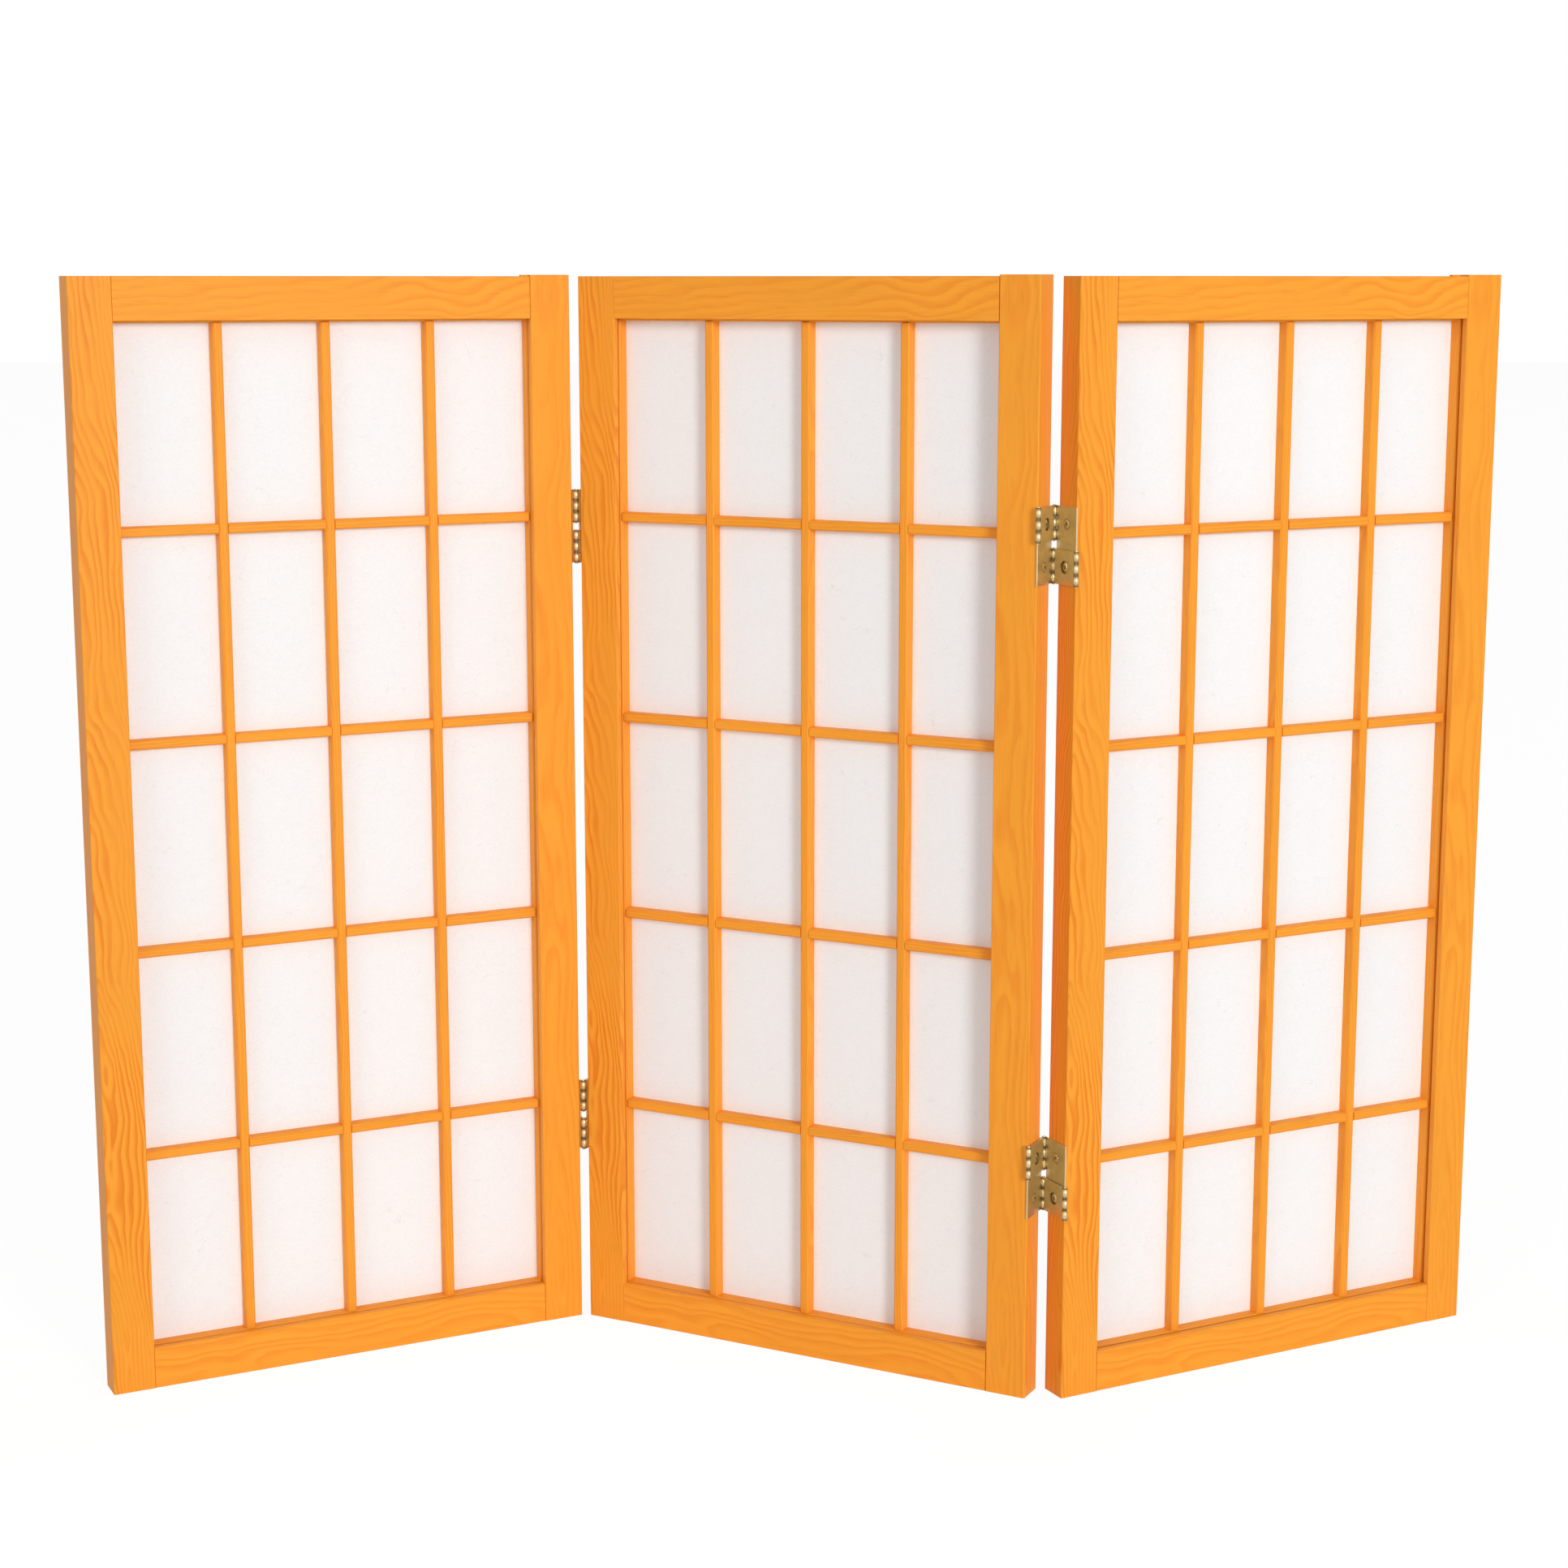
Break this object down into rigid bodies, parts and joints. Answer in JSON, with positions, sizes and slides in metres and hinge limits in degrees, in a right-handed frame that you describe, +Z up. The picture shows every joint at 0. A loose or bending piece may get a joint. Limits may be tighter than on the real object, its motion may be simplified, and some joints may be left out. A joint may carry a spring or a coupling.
{
  "type": "folding screen",
  "caption": "Folding screen that stands in a zigzag: wooden frames with lapped lattice bars over translucent paper, joined by double-action hinges.",
  "frame": {"origin": "on the floor, under the middle of the centre panel", "axes": "+X along the standing screen, +Y away from the viewer of its lattice side, +Z up"},
  "size_m": [1.168, 0.2301, 0.9156],
  "materials": {
    "wood": "honey-stained softwood under satin lacquer",
    "paper": "matt laminated fibre paper, translucent",
    "brass": "dull antique brass"
  },
  "bodies": {
    "centre_panel": {"centre_panel_bottom_edge_bar": "wood", "centre_panel_bottom_rail": "wood", "centre_panel_crossbars": "wood", "centre_panel_left_edge_bar": "wood", "centre_panel_left_stile": "wood", "centre_panel_paper": "paper", "centre_panel_right_edge_bar": "wood", "centre_panel_right_stile": "wood", "centre_panel_top_edge_bar": "wood", "centre_panel_top_rail": "wood", "centre_panel_upright_bars": "wood", "left_fold_centre_pins": "brass", "left_fold_centre_screws": "brass", "left_fold_lower_centre_leaf": "brass", "left_fold_lower_centre_link": "brass", "left_fold_upper_centre_leaf": "brass", "left_fold_upper_centre_link": "brass", "right_fold_centre_pins": "brass", "right_fold_centre_screws": "brass", "right_fold_lower_centre_leaf": "brass", "right_fold_lower_centre_link": "brass", "right_fold_upper_centre_leaf": "brass", "right_fold_upper_centre_link": "brass"},
    "left_panel": {"left_fold_lower_outer_leaf": "brass", "left_fold_lower_outer_link": "brass", "left_fold_outer_pins": "brass", "left_fold_outer_screws": "brass", "left_fold_upper_outer_leaf": "brass", "left_fold_upper_outer_link": "brass", "left_panel_bottom_edge_bar": "wood", "left_panel_bottom_rail": "wood", "left_panel_crossbars": "wood", "left_panel_left_edge_bar": "wood", "left_panel_left_stile": "wood", "left_panel_paper": "paper", "left_panel_right_edge_bar": "wood", "left_panel_right_stile": "wood", "left_panel_top_edge_bar": "wood", "left_panel_top_rail": "wood", "left_panel_upright_bars": "wood"},
    "right_panel": {"right_fold_lower_outer_leaf": "brass", "right_fold_lower_outer_link": "brass", "right_fold_outer_pins": "brass", "right_fold_outer_screws": "brass", "right_fold_upper_outer_leaf": "brass", "right_fold_upper_outer_link": "brass", "right_panel_bottom_edge_bar": "wood", "right_panel_bottom_rail": "wood", "right_panel_crossbars": "wood", "right_panel_left_edge_bar": "wood", "right_panel_left_stile": "wood", "right_panel_paper": "paper", "right_panel_right_edge_bar": "wood", "right_panel_right_stile": "wood", "right_panel_top_edge_bar": "wood", "right_panel_top_rail": "wood", "right_panel_upright_bars": "wood"}
  },
  "joints": [
    {"name": "fold_left", "type": "hinge", "parent": "centre_panel", "child": "left_panel", "pos_m": [-0.19525, 0.08368, 0.4572], "axis": [0, 0, 1], "range_deg": [-54, 126]},
    {"name": "fold_right", "type": "hinge", "parent": "centre_panel", "child": "right_panel", "pos_m": [0.19525, -0.08368, 0.4572], "axis": [0, 0, 1], "range_deg": [-54.9, 125.1]}
  ]
}
